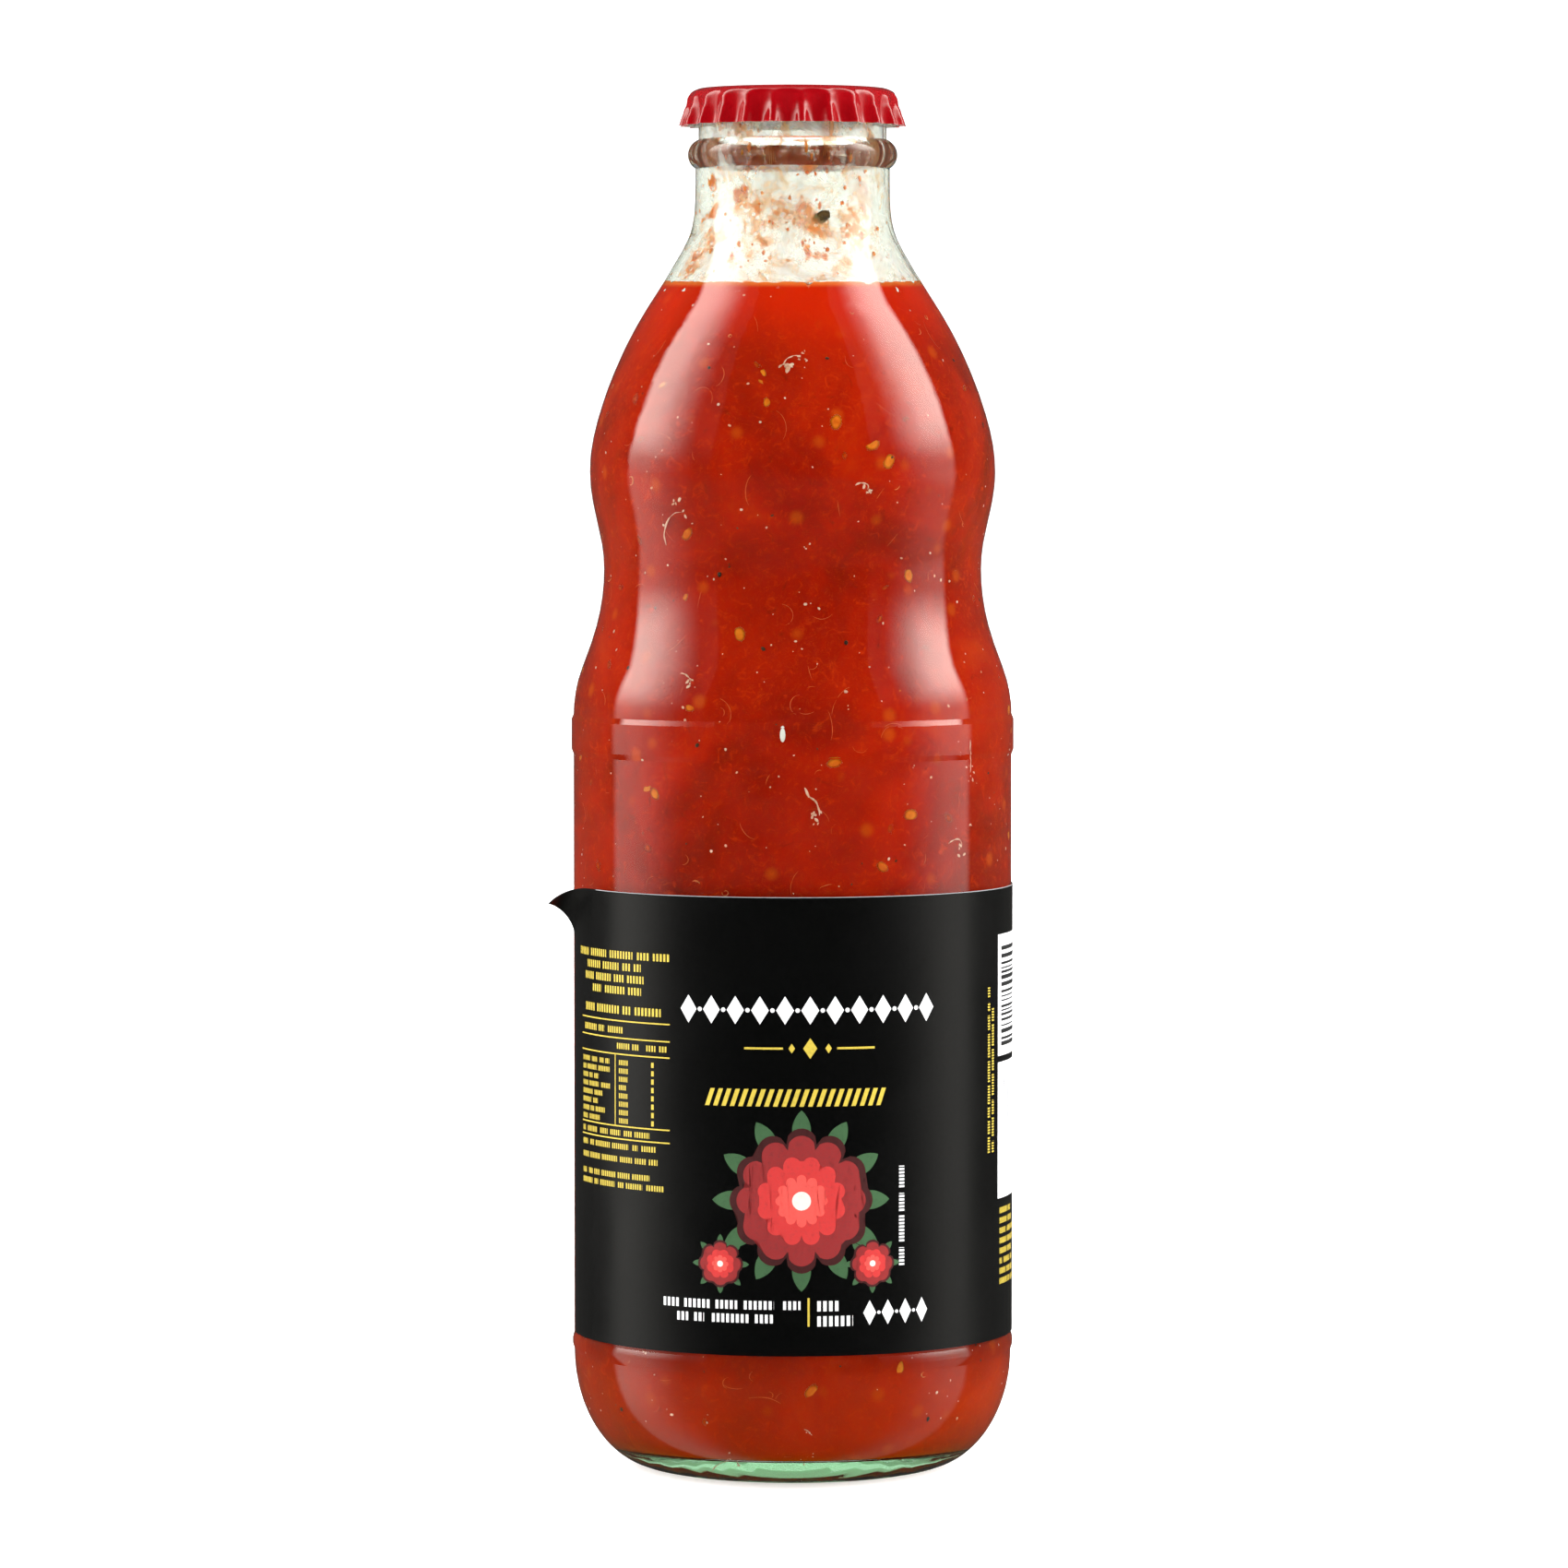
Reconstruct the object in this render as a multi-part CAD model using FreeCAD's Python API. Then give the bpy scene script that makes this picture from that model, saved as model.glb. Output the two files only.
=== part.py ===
"""Bottle of crushed tomatoes: waisted glass bottle, filling, fluted crown cap and wrap-round label.

Millimetres, +Z up. The origin is the centre of the standing ring, on the surface the bottle stands on.
The front, where the label's main panel faces, is -Y. Heights stack up from the table, zone by zone.
"""
import FreeCAD, Part
import math
import os

Vector = FreeCAD.Vector
ORIGIN = Vector(0, 0, 0)
UP = Vector(0, 0, 1)

# Glass body, from the table up
STAND_R = 26.0          # outer edge of the flat standing ring
STAND_WIDTH = 1.6
PUNT_HEIGHT = 4.6       # hollow under the base, at its centre
HEEL_HEIGHT = 22.0
PANEL_R = 41.4          # straight wall that carries the label
RIDGE_WIDTH = 3.2       # low bead between heel and label
RIDGE_PROUD = 0.35
PANEL_LENGTH = 109.6
BAND_WIDTH = 7.6        # flat raised band above the label panel
BAND_PROUD = 0.4
BAND_EDGE = 1.0
GRIP_FALL = 27.3        # band to waist
GRIP_MID_FALL = 11.9
GRIP_MID_R = 38.55
WAIST_R = 35.6
GRIP_RISE = 18.3        # waist to bulge
BULGE_R = 38.25
SHOULDER_HEIGHT = 54.0  # bulge to straight neck
SHOULDER = [(10.3, 36.6), (29.5, 28.2), (34.7, 24.9), (41.7, 20.7)]     # rises above the bulge, with radii
NECK_R = 18.3
NECK_LENGTH = 3.0
BEAD_WIDTH = 5.4        # transfer bead round the neck
BEAD_PROUD = 1.4
FINISH_R = 17.7         # glass between bead and sealing lip
FINISH_LENGTH = 3.8
LIP_R = 18.8
LIP_HEIGHT = 5.4
LIP_SLOPE = 1.2
LIP_ROUND = 2.2
LIP_EASE = 0.5

# Inside of the glass
WALL = 2.8
NECK_WALL = 2.9
BASE_GLASS = 6.6        # over the punt, at the centre
HEEL_GLASS = 6.2        # floor's lowest ring above the table
INNER_HEEL = 7.6        # floor's edge to the wall; the wide low floor shows the base's green

# Filling
FILL_GAP = 0.05         # between filling and glass
FILL_BELOW_NECK = 19.2

# Crown cap
CAP_SHEET = 0.32
CAP_CLEARANCE = 0.2     # between lip and the bottoms of the flutes
CAP_SHOULDER = 0.7      # how far the cap's round shoulder stands out past the bottoms of the flutes
CAP_CORNER = 2.8
CAP_HEIGHT = 6.9
CAP_FLARE = 1.6         # how far the ridges lean out at the hem
CAP_HEM = 0.4           # how far the bottoms of the flutes turn out at the hem
CAP_TURN = 4.7          # degrees, as the cap happens to sit
RIDGE_ROUND = 0.15      # how blunt the ridges between the flutes are, with 0 for sharp
FLUTES = 24
POINTS_PER_FLUTE = 8
CORNER_RINGS = 6
SKIRT_RINGS = 5

# Label
LABEL_GAP = 20.0        # bare strip of glass between the label's ends
LABEL_START = -80.0     # degrees from the front to the label's lifted edge
LABEL_HEIGHT = 84.6
LABEL_LIFT = 0.5        # above the ridge
LABEL_GLUE = 0.05
PAPER = 0.2
FOLD_ALONG = 11.9       # lifted corner's legs, along the top edge and down the side edge
FOLD_DOWN = 10.1
CURL_R = 3.8
LABEL_RIBS = 12         # upright lines and points along them that shape the lifted corner
STRAIGHT_STEPS = 4
CURL_STEPS = 15

# Heights worked out from the zones
RIDGE_TOP = HEEL_HEIGHT + RIDGE_WIDTH
BAND_BOTTOM = RIDGE_TOP + PANEL_LENGTH
BAND_TOP = BAND_BOTTOM + BAND_WIDTH
WAIST_Z = BAND_TOP + GRIP_FALL
BULGE_Z = WAIST_Z + GRIP_RISE
NECK_Z = BULGE_Z + SHOULDER_HEIGHT
BEAD_Z = NECK_Z + NECK_LENGTH
FINISH_Z = BEAD_Z + BEAD_WIDTH
LIP_Z = FINISH_Z + FINISH_LENGTH + LIP_HEIGHT
FILL_Z = NECK_Z - FILL_BELOW_NECK
FLOOR_R = PANEL_R - WALL - INNER_HEEL
FLUTE_R = LIP_R + CAP_CLEARANCE + CAP_SHEET
CAP_TOP = LIP_Z + CAP_SHEET


def at(r, z):
    return Vector(r, 0, z)


def line(start, end):
    return Part.LineSegment(at(*start), at(*end)).toShape()


def arc(start, middle, end):
    return Part.Arc(at(*start), at(*middle), at(*end)).toShape()


def corner(centre, radius, first_deg, last_deg):
    """Round corner about centre, its angles measured up from the outward direction."""
    angles = [math.radians(a) for a in (first_deg, (first_deg + last_deg) / 2, last_deg)]
    return arc(*[(centre[0] + radius * math.cos(a), centre[1] + radius * math.sin(a)) for a in angles])


def heel(inner_r, outer_r, bottom, top):
    """Quarter of an ellipse that leaves the base level and meets the wall upright."""
    wide, tall = outer_r - inner_r, top - bottom
    if wide > tall:
        ellipse = Part.Ellipse(at(outer_r, top), at(inner_r, bottom), at(inner_r, top))
    else:
        ellipse = Part.Ellipse(at(inner_r, bottom), at(outer_r, top), at(inner_r, top))
    ends = sorted([ellipse.parameter(at(inner_r, bottom)), ellipse.parameter(at(outer_r, top))])
    if ends[1] - ends[0] > math.pi:
        ends = [ends[1], ends[0] + 2 * math.pi]
    return ellipse.toShape(*ends)


def blend(points):
    """Smooth curve through the points that leaves the first and meets the last upright."""
    curve = Part.BSplineCurve()
    curve.interpolate(Points=[at(*p) for p in points], InitialTangent=UP, FinalTangent=UP)
    return curve.toShape()


def body_curves(inset, neck_r):
    """Grip, bulge and shoulder from the band's top to the straight neck, moved inwards by inset."""
    grip = [(PANEL_R, BAND_TOP), (GRIP_MID_R, BAND_TOP + GRIP_MID_FALL), (WAIST_R, WAIST_Z)]
    rise = [(WAIST_R, WAIST_Z), (BULGE_R, BULGE_Z)]
    shoulder = [(BULGE_R, BULGE_Z)] + [(r, BULGE_Z + rise) for rise, r in SHOULDER]
    moved = [[(r - inset, z) for r, z in points] for points in (grip, rise, shoulder)]
    moved[2].append((neck_r, NECK_Z))
    return [blend(points) for points in moved]


def base_edges():
    punt_r = STAND_R - STAND_WIDTH
    dome_r = (punt_r**2 + PUNT_HEIGHT**2) / (2 * PUNT_HEIGHT)
    half = math.asin(punt_r / dome_r) / 2
    centre_z = PUNT_HEIGHT - dome_r
    middle = (dome_r * math.sin(half), centre_z + dome_r * math.cos(half))
    return [
        arc((0, PUNT_HEIGHT), middle, (punt_r, 0)),
        line((punt_r, 0), (STAND_R, 0)),
        heel(STAND_R, PANEL_R, 0, HEEL_HEIGHT),
    ]


def panel_edges():
    band_r = PANEL_R + BAND_PROUD
    ridge_middle = (PANEL_R + RIDGE_PROUD, HEEL_HEIGHT + RIDGE_WIDTH / 2)
    return [
        arc((PANEL_R, HEEL_HEIGHT), ridge_middle, (PANEL_R, RIDGE_TOP)),
        line((PANEL_R, RIDGE_TOP), (PANEL_R, BAND_BOTTOM)),
        line((PANEL_R, BAND_BOTTOM), (band_r, BAND_BOTTOM + BAND_EDGE)),
        line((band_r, BAND_BOTTOM + BAND_EDGE), (band_r, BAND_TOP - BAND_EDGE)),
        line((band_r, BAND_TOP - BAND_EDGE), (PANEL_R, BAND_TOP)),
    ]


def finish_edges():
    """Neck, transfer bead and sealing lip, over the lip to the top of the bore."""
    lip_bottom = LIP_Z - LIP_HEIGHT
    bore_r = NECK_R - NECK_WALL
    bead_middle = (NECK_R + BEAD_PROUD, BEAD_Z + BEAD_WIDTH / 2)
    return [
        line((NECK_R, NECK_Z), (NECK_R, BEAD_Z)),
        arc((NECK_R, BEAD_Z), bead_middle, (FINISH_R, FINISH_Z)),
        line((FINISH_R, FINISH_Z), (FINISH_R, lip_bottom)),
        line((FINISH_R, lip_bottom), (LIP_R, lip_bottom + LIP_SLOPE)),
        line((LIP_R, lip_bottom + LIP_SLOPE), (LIP_R, LIP_Z - LIP_ROUND)),
        corner((LIP_R - LIP_ROUND, LIP_Z - LIP_ROUND), LIP_ROUND, 0, 90),
        line((LIP_R - LIP_ROUND, LIP_Z), (bore_r + LIP_EASE, LIP_Z)),
        corner((bore_r + LIP_EASE, LIP_Z - LIP_EASE), LIP_EASE, 90, 180),
    ]


def cavity_edges(gap):
    """Inside of the glass from the middle of the floor to the top of the bore, moved inwards by gap."""
    floor_middle = PUNT_HEIGHT + BASE_GLASS + gap
    floor_edge = HEEL_GLASS + gap
    wall_r = PANEL_R - WALL - gap
    bore_r = NECK_R - NECK_WALL - gap
    dome_middle = (FLOOR_R / 2, floor_edge + 0.75 * (floor_middle - floor_edge))
    return [
        arc((0, floor_middle), dome_middle, (FLOOR_R, floor_edge)),
        heel(FLOOR_R, wall_r, floor_edge, HEEL_HEIGHT),
        line((wall_r, HEEL_HEIGHT), (wall_r, BAND_TOP)),
        *body_curves(WALL + gap, bore_r),
        line((bore_r, NECK_Z), (bore_r, LIP_Z - LIP_EASE)),
    ]


def turned(edges):
    """Solid of revolution of a closed outline."""
    outline = Part.Wire(Part.__sortEdges__(edges))
    return Part.Face(outline).revolve(ORIGIN, UP, 360)


def bottle():
    outside = base_edges() + panel_edges() + body_curves(0, NECK_R) + finish_edges()
    through_base = line((0, PUNT_HEIGHT), (0, PUNT_HEIGHT + BASE_GLASS))
    return turned(outside + cavity_edges(0) + [through_base])


def crushed_tomatoes():
    bore_r = NECK_R - NECK_WALL - FILL_GAP
    top = LIP_Z - LIP_EASE
    floor = PUNT_HEIGHT + BASE_GLASS + FILL_GAP
    whole = turned(cavity_edges(FILL_GAP) + [line((bore_r, top), (0, top)), line((0, top), (0, floor))])
    return whole.common(Part.makeCylinder(2 * PANEL_R, FILL_Z))


def ridge_share(angle):
    """1 on a ridge and 0 in the middle of a flute: round hollows that meet in narrow ridges."""
    across = math.sin(FLUTES * (angle - math.radians(CAP_TURN)) / 2)
    hollow = math.hypot(across, RIDGE_ROUND) - RIDGE_ROUND
    return 1 - hollow / (math.hypot(1, RIDGE_ROUND) - RIDGE_ROUND)


def cap_ring(inset, depth):
    """Wavy ring round the cap at a depth below its top, moved inwards by inset."""
    corner_r = CAP_CORNER - inset
    shoulder_r = FLUTE_R + CAP_SHOULDER - inset
    in_corner = min(depth - inset, corner_r)
    round_r = shoulder_r - corner_r + math.sqrt(in_corner * (2 * corner_r - in_corner))
    down_skirt = max(0.0, depth - CAP_CORNER) / (CAP_HEIGHT - CAP_CORNER)
    ridge_r = round_r + CAP_FLARE * down_skirt
    valley_r = min(ridge_r, FLUTE_R + CAP_HEM * down_skirt**4 - inset)
    points = []
    for i in range(FLUTES * POINTS_PER_FLUTE):
        angle = 2 * math.pi * i / (FLUTES * POINTS_PER_FLUTE)
        r = valley_r + (ridge_r - valley_r) * ridge_share(angle)
        points.append(Vector(r * math.cos(angle), r * math.sin(angle), CAP_TOP - depth))
    curve = Part.BSplineCurve()
    curve.interpolate(Points=points, PeriodicFlag=True)
    return Part.Wire(curve.toShape())


def cap_block(inset, bottom):
    """Solid inside the cap's outer surface, or inside its inner one when inset by the sheet."""
    corner_r = CAP_CORNER - inset
    turns = [math.pi / 2 * i / CORNER_RINGS for i in range(CORNER_RINGS + 1)]
    depths = [inset + corner_r * (1 - math.cos(turn)) for turn in turns]
    step = (bottom - CAP_CORNER) / SKIRT_RINGS
    depths += [CAP_CORNER + step * (i + 1) for i in range(SKIRT_RINGS)]
    return Part.makeLoft([cap_ring(inset, depth) for depth in depths], True, False)


def cap():
    return cap_block(0, CAP_HEIGHT).cut(cap_block(CAP_SHEET, CAP_HEIGHT + 1))


def label_point(along, height, depth):
    """Point of the label: along its length from the lifted edge, above its lower edge, below its face."""
    face_r = PANEL_R + LABEL_GLUE + PAPER
    fold_length = math.hypot(FOLD_ALONG, FOLD_DOWN)
    lean = Vector(-FOLD_DOWN, 0, FOLD_ALONG) / fold_length
    past_fold = (along - FOLD_ALONG) * lean.x + (height - LABEL_HEIGHT) * lean.z
    past_fold = max(0.0, past_fold)
    foot_along = along - past_fold * lean.x
    foot_height = height - past_fold * lean.z
    angle = math.radians(LABEL_START) + foot_along / face_r
    normal = Vector(math.sin(angle), -math.cos(angle), 0)
    tangent = Vector(math.cos(angle), math.sin(angle), 0)
    outwards = tangent * lean.x + UP * lean.z
    turn = past_fold / CURL_R
    foot = normal * face_r + UP * (RIDGE_TOP + LABEL_LIFT + foot_height)
    face = foot + outwards * (CURL_R * math.sin(turn)) + normal * (CURL_R * (1 - math.cos(turn)))
    return face - (normal * math.cos(turn) - outwards * math.sin(turn)) * depth


def label_sheet(depth):
    """Strip with the lifted corner, lofted through upright lines at one depth below the printed face."""
    curled = 1.5 * FOLD_DOWN
    straight = LABEL_HEIGHT - curled
    heights = [straight * i / STRAIGHT_STEPS for i in range(STRAIGHT_STEPS)]
    heights += [straight + curled * i / CURL_STEPS for i in range(CURL_STEPS + 1)]
    ribs = []
    for i in range(LABEL_RIBS + 1):
        along = FOLD_ALONG * i / LABEL_RIBS
        points = [label_point(along, height, depth) for height in heights]
        curve = Part.BSplineCurve()
        curve.interpolate(Points=points, Parameters=heights)
        ribs.append(Part.Wire(curve.toShape()))
    return Part.makeLoft(ribs, False, False).Faces[0]


def lifted_strip():
    face = label_sheet(0.0)
    back = label_sheet(PAPER)
    borders = [Part.makeRuledSurface(a, b) for a, b in zip(face.Edges, back.Edges)]
    shell = Part.makeShell([face, back] + borders)
    shell.sewShape()
    return Part.makeSolid(shell)


def label():
    """The glued length is turned; the strip with the lifted corner is lofted on to its end."""
    back_r = PANEL_R + LABEL_GLUE
    face_r = back_r + PAPER
    bottom = RIDGE_TOP + LABEL_LIFT
    top = bottom + LABEL_HEIGHT
    corners = [(back_r, bottom), (face_r, bottom), (face_r, top), (back_r, top)]
    section = Part.Face(Part.makePolygon([at(*c) for c in corners + corners[:1]]))
    start = LABEL_START - 90 + math.degrees(FOLD_ALONG / face_r)
    length = 360 - math.degrees((LABEL_GAP + FOLD_ALONG) / face_r)
    section.rotate(ORIGIN, UP, start)
    glued = section.revolve(ORIGIN, UP, length)
    return glued.fuse(lifted_strip())


def write(name, shape):
    if shape.ShapeType == "Compound" and len(shape.Solids) == 1:
        shape = shape.Solids[0]
    solids = len(shape.Solids)
    print(f"{name}: {solids} solid, valid {shape.isValid()}, {shape.Volume / 1000:.1f} cm3")
    shape.exportStep(f"parts/{name}.step")


os.makedirs("parts", exist_ok=True)
write("bottle", bottle())
write("crushed_tomatoes", crushed_tomatoes())
write("cap", cap())
write("label", label())
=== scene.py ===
"""Looks of the bottle of crushed tomatoes: glass, filling, splashes, lacquered cap and printed label.

Metres, +Z up, front at -Y. Places along the label are millimetres round from its front and up from the table.
"""
import math
import random

import bmesh
import bpy
from mathutils import Matrix, Vector, noise


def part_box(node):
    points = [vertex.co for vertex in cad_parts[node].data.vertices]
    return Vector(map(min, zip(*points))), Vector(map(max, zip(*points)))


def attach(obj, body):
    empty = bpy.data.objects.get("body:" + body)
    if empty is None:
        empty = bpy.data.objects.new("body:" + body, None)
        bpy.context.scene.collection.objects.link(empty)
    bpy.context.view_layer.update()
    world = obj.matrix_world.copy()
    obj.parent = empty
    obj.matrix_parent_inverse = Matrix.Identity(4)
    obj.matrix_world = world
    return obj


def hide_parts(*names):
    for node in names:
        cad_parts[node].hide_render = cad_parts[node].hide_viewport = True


MM = 0.001
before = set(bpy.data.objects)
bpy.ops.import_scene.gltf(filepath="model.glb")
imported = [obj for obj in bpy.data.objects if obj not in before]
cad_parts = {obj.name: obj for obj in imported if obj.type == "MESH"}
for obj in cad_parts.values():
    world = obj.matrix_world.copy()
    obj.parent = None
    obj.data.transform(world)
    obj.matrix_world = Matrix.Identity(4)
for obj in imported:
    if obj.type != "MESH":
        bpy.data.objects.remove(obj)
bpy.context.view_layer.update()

# Sizes read from the frame
LABEL_BACK, LABEL_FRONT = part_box("label")
LABEL_R = LABEL_FRONT.x
FILL_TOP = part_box("crushed_tomatoes")[1].z
FILL_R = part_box("crushed_tomatoes")[1].x
CAP_LOW, CAP_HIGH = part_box("cap")
BOTTLE_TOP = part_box("bottle")[1].z
BEAD_Z = BOTTLE_TOP - 11.9 * MM      # middle of the ring under the lip

# Filling
INTO_WALL = 0.25 * MM       # how far the filling reaches into the glass, so that no air shows
PULP_RELIEF = 0.12 * MM
NEAR_SEEDS = 60
SUNK_SEEDS = 110
FIBRES = 420
SCRAPS = 60
BUBBLES = 900
SPECKS = 150

GLASS_IOR = 1.51
JUICE_IN_GLASS = 1.35 / GLASS_IOR   # glass turns low rays back from the watery filling

# Camera: the photograph's eye height and distance
EYE = Vector((-1.62 * MM, -1.3, 0.1953))
LOOK_DOWN = math.radians(2.92)
LENS = 158.0


# ---------------------------------------------------------------- materials

def new_material(name):
    material = bpy.data.materials.new(name)
    material.use_nodes = True
    nodes = material.node_tree.nodes
    return material, nodes, material.node_tree.links, nodes["Principled BSDF"]


def object_coords(nodes):
    return nodes.new("ShaderNodeTexCoord").outputs["Object"]


def noise_node(nodes, links, vector, scale, detail=4.0, rough=0.55, distortion=0.0):
    node = nodes.new("ShaderNodeTexNoise")
    node.inputs["Scale"].default_value = scale
    node.inputs["Detail"].default_value = detail
    node.inputs["Roughness"].default_value = rough
    node.inputs["Distortion"].default_value = distortion
    links.new(vector, node.inputs["Vector"])
    return node.outputs["Fac"]


def ramp(nodes, links, value, stops):
    node = nodes.new("ShaderNodeValToRGB")
    elements = node.color_ramp.elements
    while len(elements) < len(stops):
        elements.new(0.5)
    for element, (place, colour) in zip(elements, stops):
        element.position = place
        element.color = (*colour, 1.0)
    links.new(value, node.inputs["Fac"])
    return node.outputs["Color"]


def map_range(nodes, links, value, low, high, to_low=0.0, to_high=1.0):
    node = nodes.new("ShaderNodeMapRange")
    node.interpolation_type = "SMOOTHSTEP"
    node.inputs["From Min"].default_value = low
    node.inputs["From Max"].default_value = high
    node.inputs["To Min"].default_value = to_low
    node.inputs["To Max"].default_value = to_high
    links.new(value, node.inputs["Value"])
    return node.outputs["Result"]


def mix_colour(nodes, links, factor, a, b, blend="MIX"):
    node = nodes.new("ShaderNodeMix")
    node.data_type = "RGBA"
    node.blend_type = blend
    for socket, value in ((node.inputs[0], factor), (node.inputs[6], a), (node.inputs[7], b)):
        if hasattr(value, "links"):
            links.new(value, socket)
        elif isinstance(value, tuple):
            socket.default_value = (*value, 1.0)
        else:
            socket.default_value = value
    return node.outputs[2]


def bump(nodes, links, shader, height, distance, strength=1.0):
    node = nodes.new("ShaderNodeBump")
    node.inputs["Strength"].default_value = strength
    node.inputs["Distance"].default_value = distance
    links.new(height, node.inputs["Height"])
    links.new(node.outputs["Normal"], shader.inputs["Normal"])


def glass_material():
    """Clear moulded glass with faint waviness, green where it is thick; lamps reach what is behind it."""
    material, nodes, links, shader = new_material("clear_glass")
    shader.inputs["Base Color"].default_value = (0.985, 0.992, 0.985, 1.0)
    shader.inputs["Roughness"].default_value = 0.012
    shader.inputs["IOR"].default_value = GLASS_IOR
    shader.inputs["Transmission Weight"].default_value = 1.0
    coords = object_coords(nodes)
    wave = noise_node(nodes, links, coords, 55.0, detail=2.0)
    bump(nodes, links, shader, wave, 0.05 * MM, 0.35)
    clear = nodes.new("ShaderNodeBsdfTransparent")
    clear.inputs["Color"].default_value = (0.95, 0.96, 0.95, 1.0)
    path = nodes.new("ShaderNodeLightPath")
    mix = nodes.new("ShaderNodeMixShader")
    links.new(path.outputs["Is Shadow Ray"], mix.inputs["Fac"])
    links.new(shader.outputs["BSDF"], mix.inputs[1])
    links.new(clear.outputs["BSDF"], mix.inputs[2])
    output = nodes["Material Output"]
    links.new(mix.outputs["Shader"], output.inputs["Surface"])
    body = nodes.new("ShaderNodeVolumeAbsorption")
    body.inputs["Color"].default_value = (0.14, 0.58, 0.23, 1.0)
    body.inputs["Density"].default_value = 24.0
    links.new(body.outputs["Volume"], output.inputs["Volume"])
    return material


def pulp_material():
    """Crushed tomato: deep red with orange pulp and darker hollows; painted light brightens a band under the top
    surface.
    """
    material, nodes, links, shader = new_material("crushed_tomato_pulp")
    coords = object_coords(nodes)
    broad = noise_node(nodes, links, coords, 38.0, detail=6.0, rough=0.62, distortion=0.8)
    colour = ramp(nodes, links, broad, [
        (0.30, (0.205, 0.0008, 0.0001)),
        (0.47, (0.330, 0.0020, 0.0001)),
        (0.60, (0.435, 0.0055, 0.0002)),
        (0.74, (0.515, 0.0220, 0.0006)),
    ])
    fine = noise_node(nodes, links, coords, 420.0, detail=5.0, rough=0.7, distortion=1.6)
    grains = map_range(nodes, links, fine, 0.52, 0.72, 0.0, 0.85)
    colour = mix_colour(nodes, links, grains, colour, (0.560, 0.0240, 0.0012))
    hollow = noise_node(nodes, links, coords, 150.0, detail=4.0, rough=0.65, distortion=2.2)
    dark = map_range(nodes, links, hollow, 0.60, 0.76, 0.0, 0.6)
    colour = mix_colour(nodes, links, dark, colour, (0.150, 0.0015, 0.0002))
    strands = noise_node(nodes, links, coords, 240.0, detail=3.0, rough=0.5, distortion=4.5)
    strand = map_range(nodes, links, strands, 0.500, 0.512, 0.0, 1.0)
    strand_end = map_range(nodes, links, strands, 0.514, 0.526, 1.0, 0.0)
    strand = mix_colour(nodes, links, 1.0, strand, strand_end, "MULTIPLY")
    strand = mix_colour(nodes, links, 1.0, strand, (0.32, 0.32, 0.32), "MULTIPLY")
    colour = mix_colour(nodes, links, strand, colour, (0.600, 0.0620, 0.0040))
    spots = nodes.new("ShaderNodeTexVoronoi")
    spots.inputs["Scale"].default_value = 120.0
    links.new(coords, spots.inputs["Vector"])
    near_spot = map_range(nodes, links, spots.outputs["Distance"], 0.22, 0.06, 0.0, 0.55)
    colour = mix_colour(nodes, links, near_spot, colour, (0.600, 0.0700, 0.0030))
    place = nodes.new("ShaderNodeSeparateXYZ")
    links.new(coords, place.inputs["Vector"])
    height = place.outputs["Z"]
    # Painted light: the filling is brightened towards its top, where more light falls on it from above.
    painted_top_light = map_range(nodes, links, height, FILL_TOP - 16 * MM, FILL_TOP - 2 * MM, 0.0, 0.75)
    colour = mix_colour(nodes, links, painted_top_light, colour, (0.620, 0.0080, 0.0002))
    low = map_range(nodes, links, height, 42 * MM, 16 * MM, 0.0, 0.5)
    colour = mix_colour(nodes, links, low, colour, (0.360, 0.0200, 0.0009))
    rim = map_range(nodes, links, height, FILL_TOP - 1.2 * MM, FILL_TOP - 0.2 * MM, 0.0, 0.8)
    colour = mix_colour(nodes, links, rim, colour, (0.700, 0.1500, 0.0300))
    links.new(colour, shader.inputs["Base Color"])
    rough = map_range(nodes, links, fine, 0.35, 0.7, 0.22, 0.42)
    links.new(rough, shader.inputs["Roughness"])
    shader.inputs["Specular IOR Level"].default_value = 0.0
    shader.inputs["Subsurface Weight"].default_value = 0.25
    shader.inputs["Subsurface Radius"].default_value = (1.0, 0.12, 0.05)
    shader.inputs["Subsurface Scale"].default_value = 1.6 * MM
    shader.inputs["Sheen Weight"].default_value = 1.0
    shader.inputs["Sheen Roughness"].default_value = 0.38
    shader.inputs["Sheen Tint"].default_value = (0.85, 1.0, 0.06, 1.0)
    bump(nodes, links, shader, fine, 0.15 * MM, 0.5)
    mirror = nodes.new("ShaderNodeBsdfGlossy")
    mirror.inputs["Roughness"].default_value = 0.02
    fresnel = nodes.new("ShaderNodeFresnel")
    fresnel.inputs["IOR"].default_value = JUICE_IN_GLASS
    mix = nodes.new("ShaderNodeMixShader")
    links.new(fresnel.outputs["Fac"], mix.inputs["Fac"])
    links.new(shader.outputs["BSDF"], mix.inputs[1])
    links.new(mirror.outputs["BSDF"], mix.inputs[2])
    links.new(mix.outputs["Shader"], nodes["Material Output"].inputs["Surface"])
    return material


def solid_material(name, dark, light, scale, roughness, relief=0.05 * MM, specular=0.3):
    """Natural stuff in two tones of one colour, with a fine uneven skin."""
    material, nodes, links, shader = new_material(name)
    coords = object_coords(nodes)
    tone = noise_node(nodes, links, coords, scale, detail=3.0)
    links.new(ramp(nodes, links, tone, [(0.35, dark), (0.65, light)]), shader.inputs["Base Color"])
    links.new(map_range(nodes, links, tone, 0.3, 0.7, roughness * 0.8, roughness * 1.2), shader.inputs["Roughness"])
    shader.inputs["Specular IOR Level"].default_value = specular
    bump(nodes, links, shader, tone, relief, 0.4)
    return material


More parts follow.
